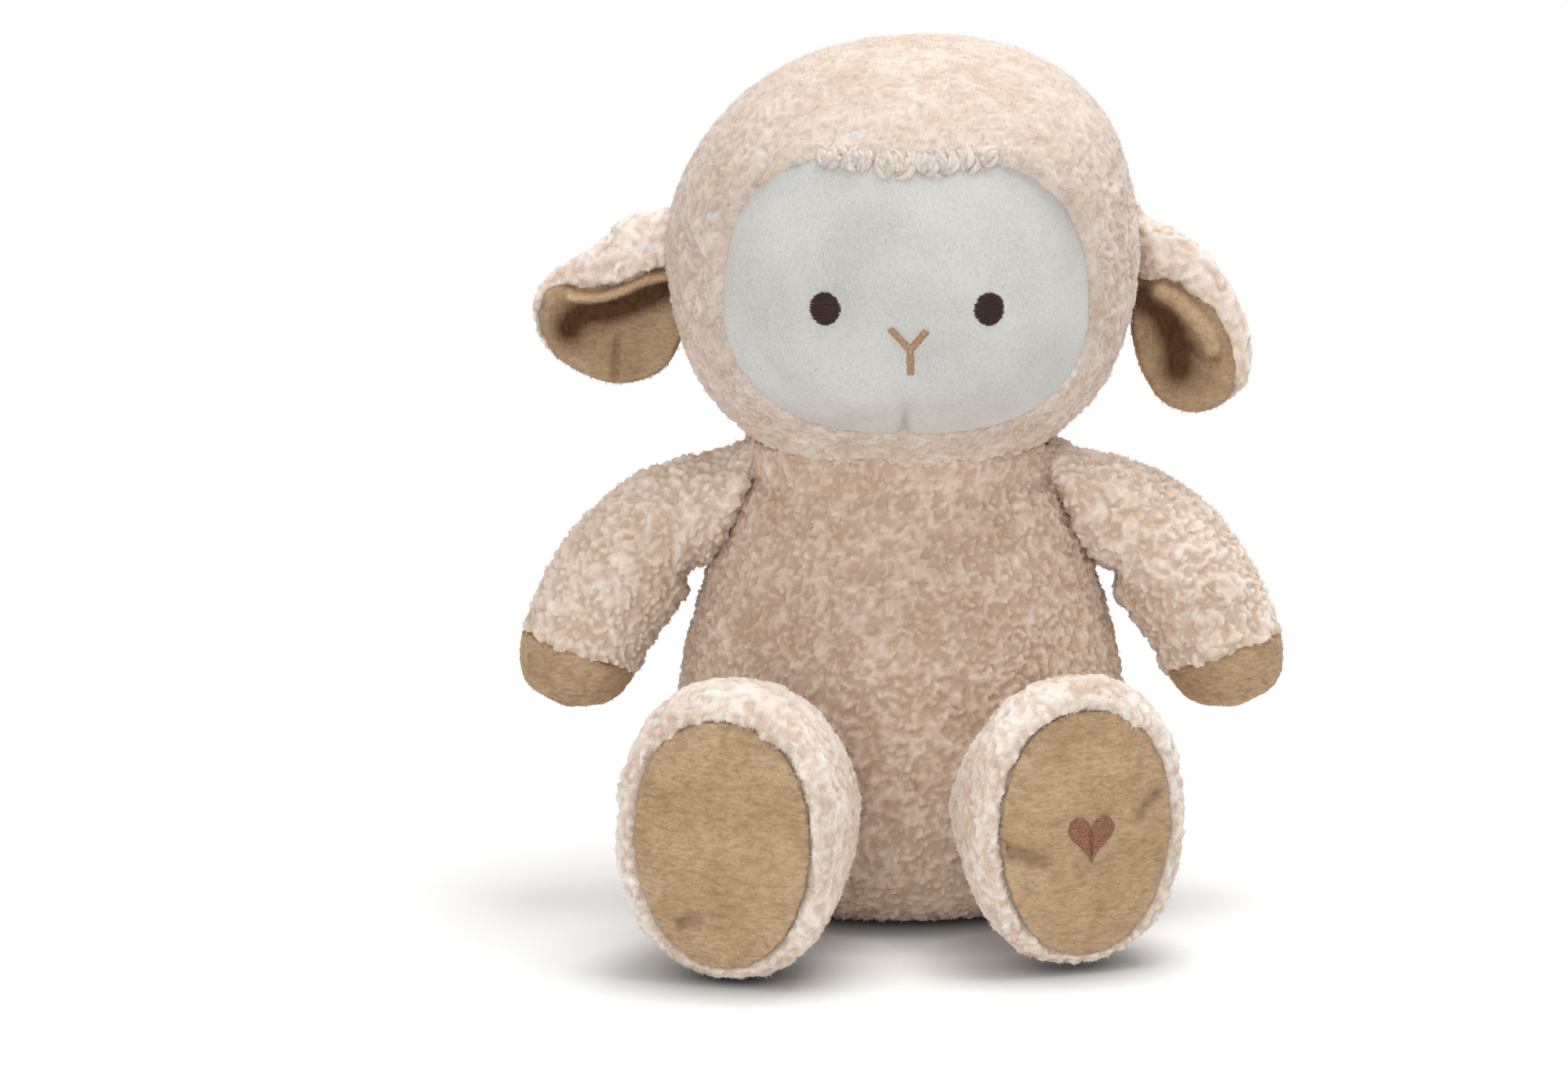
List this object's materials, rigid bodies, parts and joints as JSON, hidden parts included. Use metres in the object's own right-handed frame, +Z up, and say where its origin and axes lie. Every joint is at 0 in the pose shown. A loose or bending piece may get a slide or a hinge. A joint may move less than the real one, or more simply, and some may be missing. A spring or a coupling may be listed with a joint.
{
  "type": "plush sheep",
  "caption": "Seated soft-toy sheep with a curly fleece body, pale face, tan hooves and soles, drooping ears and floppy limbs.",
  "frame": {"origin": "middle of the flat seat under the body, on the surface that it sits on", "axes": "+Z up, the face looks along -Y, the toy's own left side is at +X"},
  "size_m": [0.2722, 0.2254, 0.3143],
  "materials": {
    "sherpa_fleece": "curly sherpa fleece, pale pink beige",
    "face_velour": "short velour, cool off-white",
    "tan_minky": "short brushed pile, tan",
    "dark_brown_thread": "satin stitch, dark brown",
    "caramel_thread": "satin stitch, caramel",
    "cotton_thread": "sewing thread",
    "polyester_fibre": "loose fibre filling",
    "pellet_bag": "plastic pellets in a cloth bag"
  },
  "bodies": {
    "torso": {"body_cover": "sherpa_fleece", "body_filling": "polyester_fibre", "seat_pellet_bag": "pellet_bag", "closing_seam": "cotton_thread"},
    "head": {"head_cover": "sherpa_fleece", "head_filling": "polyester_fibre", "face_panel": "face_velour", "eye_right": "dark_brown_thread", "eye_left": "dark_brown_thread", "nose_mouth": "caramel_thread"},
    "ear_right": {"ear_back_right": "sherpa_fleece", "ear_lining_right": "tan_minky"},
    "arm_right": {"arm_cover_right": "sherpa_fleece", "hoof_cap_right": "tan_minky", "arm_filling_right": "polyester_fibre"},
    "leg_right": {"leg_cover_right": "sherpa_fleece", "leg_filling_right": "polyester_fibre", "sole_right": "tan_minky"},
    "ear_left": {"ear_back_left": "sherpa_fleece", "ear_lining_left": "tan_minky"},
    "arm_left": {"arm_cover_left": "sherpa_fleece", "hoof_cap_left": "tan_minky", "arm_filling_left": "polyester_fibre"},
    "leg_left": {"leg_cover_left": "sherpa_fleece", "leg_filling_left": "polyester_fibre", "sole_left": "tan_minky", "sole_motif": "caramel_thread"},
    "tail": {"tail": "sherpa_fleece"}
  },
  "joints": [
    {"name": "head_turn", "type": "hinge", "parent": "torso", "child": "head", "pos_m": [0, 0, 0.1673], "axis": [0, 0, 1], "range_deg": [-30, 30], "stiffness_Nm_per_rad": 0.2},
    {"name": "ear_right_flop", "type": "hinge", "parent": "head", "child": "ear_right", "pos_m": [-0.08445, -0.006, 0.2408], "axis": [0, 1, 0], "range_deg": [-10, 35], "stiffness_Nm_per_rad": 0.02},
    {"name": "arm_right_swing", "type": "hinge", "parent": "torso", "child": "arm_right", "pos_m": [-0.0608, 0.00352, 0.14712], "axis": [-0.9068, 0, 0.4215], "range_deg": [-30, 45], "stiffness_Nm_per_rad": 0.15},
    {"name": "leg_right_raise", "type": "hinge", "parent": "torso", "child": "leg_right", "pos_m": [-0.04569, -0.06273, 0.053], "axis": [-0.9563, 0.2924, 0], "range_deg": [-30, 30], "stiffness_Nm_per_rad": 0.25},
    {"name": "ear_left_flop", "type": "hinge", "parent": "head", "child": "ear_left", "pos_m": [0.08405, -0.006, 0.2408], "axis": [0, -1, 0], "range_deg": [-10, 35], "stiffness_Nm_per_rad": 0.02},
    {"name": "arm_left_swing", "type": "hinge", "parent": "torso", "child": "arm_left", "pos_m": [0.0608, 0.00352, 0.14712], "axis": [-0.9068, 0, -0.4215], "range_deg": [-30, 45], "stiffness_Nm_per_rad": 0.15},
    {"name": "leg_left_raise", "type": "hinge", "parent": "torso", "child": "leg_left", "pos_m": [0.04625, -0.06217, 0.053], "axis": [-0.9336, -0.3584, 0], "range_deg": [-30, 30], "stiffness_Nm_per_rad": 0.25},
    {"name": "tail_wag", "type": "hinge", "parent": "torso", "child": "tail", "pos_m": [0, 0.07029, 0.0381], "axis": [1, 0, 0], "range_deg": [-20, 30], "stiffness_Nm_per_rad": 0.02}
  ]
}
